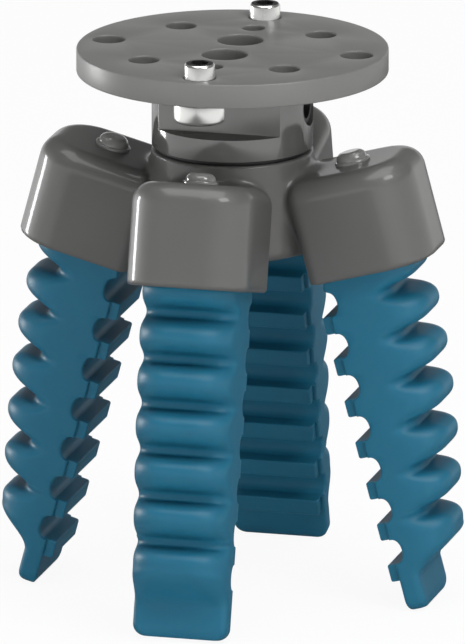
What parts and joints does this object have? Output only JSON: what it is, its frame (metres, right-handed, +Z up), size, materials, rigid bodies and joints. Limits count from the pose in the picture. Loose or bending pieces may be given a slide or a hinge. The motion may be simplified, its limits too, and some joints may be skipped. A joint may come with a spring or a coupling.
{
  "type": "soft finger gripper",
  "caption": "Robot end effector: a round adapter plate on a post and a moulded hub, whose splayed sockets hold ribbed silicone bellows fingers that curl inward.",
  "frame": {"origin": "centre of the adapter plate's top face, where it meets the robot's flange", "axes": "+Z up, out of the flange face and away from the fingers; +X along one finger and through the air port; +Y along the flange screws"},
  "size_m": [0.0918, 0.0918, 0.1122],
  "materials": {
    "grey_plate": "satin grey plate and post",
    "grey_hub": "glossy grey moulding",
    "blue_silicone": "soft satin silicone",
    "bright_steel": "bright plated steel, black recess",
    "dark_steel": "dark oxide steel",
    "black_gasket": "matt rubber",
    "black_bushing": "black liner",
    "insert_plastic": "light grey inner moulding"
  },
  "bodies": {
    "base": {"adapter_plate": "grey_plate", "hub_post": "grey_plate", "port_bushing": "black_bushing", "hub_gasket": "black_gasket", "socket_hub": "grey_hub", "flange_screw_front": "bright_steel", "flange_screw_back": "bright_steel", "post_screw_front": "dark_steel", "post_screw_back": "dark_steel", "finger_insert_right": "insert_plastic", "finger_insert_back": "insert_plastic", "finger_insert_left": "insert_plastic", "finger_insert_front": "insert_plastic", "socket_screw_right": "grey_hub", "socket_screw_back": "grey_hub", "socket_screw_left": "grey_hub", "socket_screw_front": "grey_hub"},
    "finger_right": {"soft_finger_right": "blue_silicone"},
    "finger_back": {"soft_finger_back": "blue_silicone"},
    "finger_left": {"soft_finger_left": "blue_silicone"},
    "finger_front": {"soft_finger_front": "blue_silicone"}
  },
  "joints": [
    {"name": "finger_right_curl", "type": "hinge", "parent": "base", "child": "finger_right", "pos_m": [0.02952, 0, -0.04128], "axis": [0, 1, 0], "range_deg": [-5, 18], "stiffness_Nm_per_rad": 0.35},
    {"name": "finger_back_curl", "type": "hinge", "parent": "base", "child": "finger_back", "pos_m": [0, 0.02952, -0.04128], "axis": [-1, 0, 0], "range_deg": [-5, 18], "stiffness_Nm_per_rad": 0.35},
    {"name": "finger_left_curl", "type": "hinge", "parent": "base", "child": "finger_left", "pos_m": [-0.02952, 0, -0.04128], "axis": [0, -1, 0], "range_deg": [-5, 18], "stiffness_Nm_per_rad": 0.35},
    {"name": "finger_front_curl", "type": "hinge", "parent": "base", "child": "finger_front", "pos_m": [0, -0.02952, -0.04128], "axis": [1, 0, 0], "range_deg": [-5, 18], "stiffness_Nm_per_rad": 0.35}
  ],
  "couplings": [
    {"joint": "finger_back_curl", "follows": "finger_right_curl", "ratio": 1},
    {"joint": "finger_left_curl", "follows": "finger_right_curl", "ratio": 1},
    {"joint": "finger_front_curl", "follows": "finger_right_curl", "ratio": 1}
  ]
}
